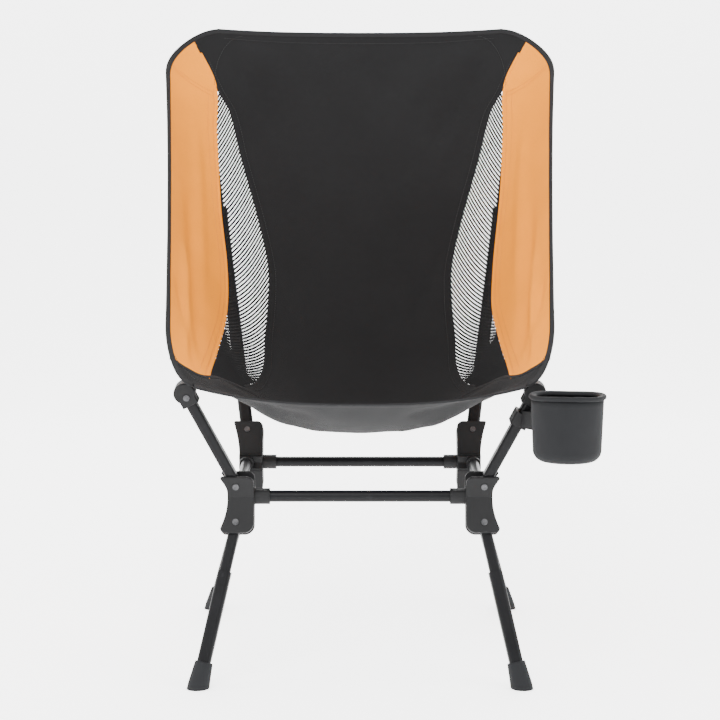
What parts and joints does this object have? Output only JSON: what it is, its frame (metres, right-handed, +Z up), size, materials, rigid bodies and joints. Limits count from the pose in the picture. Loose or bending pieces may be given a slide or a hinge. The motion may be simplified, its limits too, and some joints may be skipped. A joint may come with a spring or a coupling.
{
  "type": "camping chair",
  "caption": "Low camping chair: tube frame on plastic hubs with splayed telescopic legs, a fabric sling seat with mesh side panels, and a cup holder.",
  "frame": {"origin": "middle of the bounding box, on the ground", "axes": "+Z up, +X the sitter's left, the sitter looks along -Y"},
  "size_m": [0.6092, 0.7387, 0.9004],
  "materials": {
    "black_tube": "satin black anodised tube",
    "moulded_plastic": "fine grained black nylon",
    "button_plastic": "smooth dark plastic",
    "pin_steel": "blackened steel",
    "boot_rubber": "matt rubber",
    "black_fabric": "woven polyester",
    "orange_fabric": "woven polyester",
    "mesh_fabric": "open mesh",
    "binding_tape": "ribbed tape",
    "cup_rubber": "matt dark grey"
  },
  "bodies": {
    "frame": {"front_crossbar": "black_tube", "rear_crossbar": "black_tube", "side_bar_left": "black_tube", "side_bar_right": "black_tube", "hub_front_left": "moulded_plastic", "hub_front_right": "moulded_plastic", "hub_rear_left": "moulded_plastic", "hub_rear_right": "moulded_plastic", "leg_pivot_pins": "pin_steel", "arm_pivot_pins": "pin_steel", "front_arm_left": "black_tube", "back_pole_left": "black_tube", "pole_top_left": "black_tube", "pole_ferrule_left": "moulded_plastic", "pole_tip_left": "moulded_plastic", "front_arm_right": "black_tube", "back_pole_right": "black_tube", "pole_top_right": "black_tube", "pole_ferrule_right": "moulded_plastic", "pole_tip_right": "moulded_plastic", "corner_cap_left": "moulded_plastic", "corner_cap_right": "moulded_plastic", "corner_cap_pins": "pin_steel", "back_panel": "black_fabric", "seat_panel": "black_fabric", "mesh_panel_left": "mesh_fabric", "wing_panel_left": "orange_fabric", "mesh_panel_right": "mesh_fabric", "wing_panel_right": "orange_fabric", "top_binding": "binding_tape", "front_binding": "binding_tape", "edge_binding_left": "binding_tape", "edge_binding_right": "binding_tape", "cup_body": "cup_rubber", "cup_rim": "cup_rubber", "cup_clamp": "moulded_plastic"},
    "upper_leg_front_left": {"upper_leg_front_left": "black_tube"},
    "lower_leg_front_left": {"lower_leg_front_left": "black_tube", "foot_front_left": "boot_rubber"},
    "leg_button_front_left": {"leg_button_front_left": "button_plastic"},
    "upper_leg_front_right": {"upper_leg_front_right": "black_tube"},
    "lower_leg_front_right": {"lower_leg_front_right": "black_tube", "foot_front_right": "boot_rubber"},
    "leg_button_front_right": {"leg_button_front_right": "button_plastic"},
    "upper_leg_rear_left": {"upper_leg_rear_left": "black_tube"},
    "lower_leg_rear_left": {"lower_leg_rear_left": "black_tube", "foot_rear_left": "boot_rubber"},
    "leg_button_rear_left": {"leg_button_rear_left": "button_plastic"},
    "upper_leg_rear_right": {"upper_leg_rear_right": "black_tube"},
    "lower_leg_rear_right": {"lower_leg_rear_right": "black_tube", "foot_rear_right": "boot_rubber"},
    "leg_button_rear_right": {"leg_button_rear_right": "button_plastic"}
  },
  "joints": [
    {"name": "leg_fold_front_left", "type": "hinge", "parent": "frame", "child": "upper_leg_front_left", "pos_m": [0.161, -0.22106, 0.203], "axis": [0, 0.9612, -0.2758], "range_deg": [0, 67.3]},
    {"name": "leg_slide_front_left", "type": "slide", "parent": "upper_leg_front_left", "child": "lower_leg_front_left", "axis": [-0.2128, 0.2695, 0.9392], "range_m": [0, 0.04]},
    {"name": "leg_button_press_front_left", "type": "slide", "parent": "lower_leg_front_left", "child": "leg_button_front_left", "axis": [0, -0.9612, 0.2758], "range_m": [0, 0.002], "stiffness_N_per_m": 400},
    {"name": "leg_fold_front_right", "type": "hinge", "parent": "frame", "child": "upper_leg_front_right", "pos_m": [-0.161, -0.22106, 0.203], "axis": [0, -0.9612, 0.2758], "range_deg": [0, 67.3]},
    {"name": "leg_slide_front_right", "type": "slide", "parent": "upper_leg_front_right", "child": "lower_leg_front_right", "axis": [0.2128, 0.2695, 0.9392], "range_m": [0, 0.04]},
    {"name": "leg_button_press_front_right", "type": "slide", "parent": "lower_leg_front_right", "child": "leg_button_front_right", "axis": [0, -0.9612, 0.2758], "range_m": [0, 0.002], "stiffness_N_per_m": 400},
    {"name": "leg_fold_rear_left", "type": "hinge", "parent": "frame", "child": "upper_leg_rear_left", "pos_m": [0.168, 0.12245, 0.203], "axis": [0, 0.9612, 0.2758], "range_deg": [0, 70.1]},
    {"name": "leg_slide_rear_left", "type": "slide", "parent": "upper_leg_rear_left", "child": "lower_leg_rear_left", "axis": [-0.2606, -0.2663, 0.928], "range_m": [0, 0.04]},
    {"name": "leg_button_press_rear_left", "type": "slide", "parent": "lower_leg_rear_left", "child": "leg_button_rear_left", "axis": [0, 0.9612, 0.2758], "range_m": [0, 0.002], "stiffness_N_per_m": 400},
    {"name": "leg_fold_rear_right", "type": "hinge", "parent": "frame", "child": "upper_leg_rear_right", "pos_m": [-0.168, 0.12245, 0.203], "axis": [0, -0.9612, -0.2758], "range_deg": [0, 70.1]},
    {"name": "leg_slide_rear_right", "type": "slide", "parent": "upper_leg_rear_right", "child": "lower_leg_rear_right", "axis": [0.2606, -0.2663, 0.928], "range_m": [0, 0.04]},
    {"name": "leg_button_press_rear_right", "type": "slide", "parent": "lower_leg_rear_right", "child": "leg_button_rear_right", "axis": [0, 0.9612, 0.2758], "range_m": [0, 0.002], "stiffness_N_per_m": 400}
  ]
}
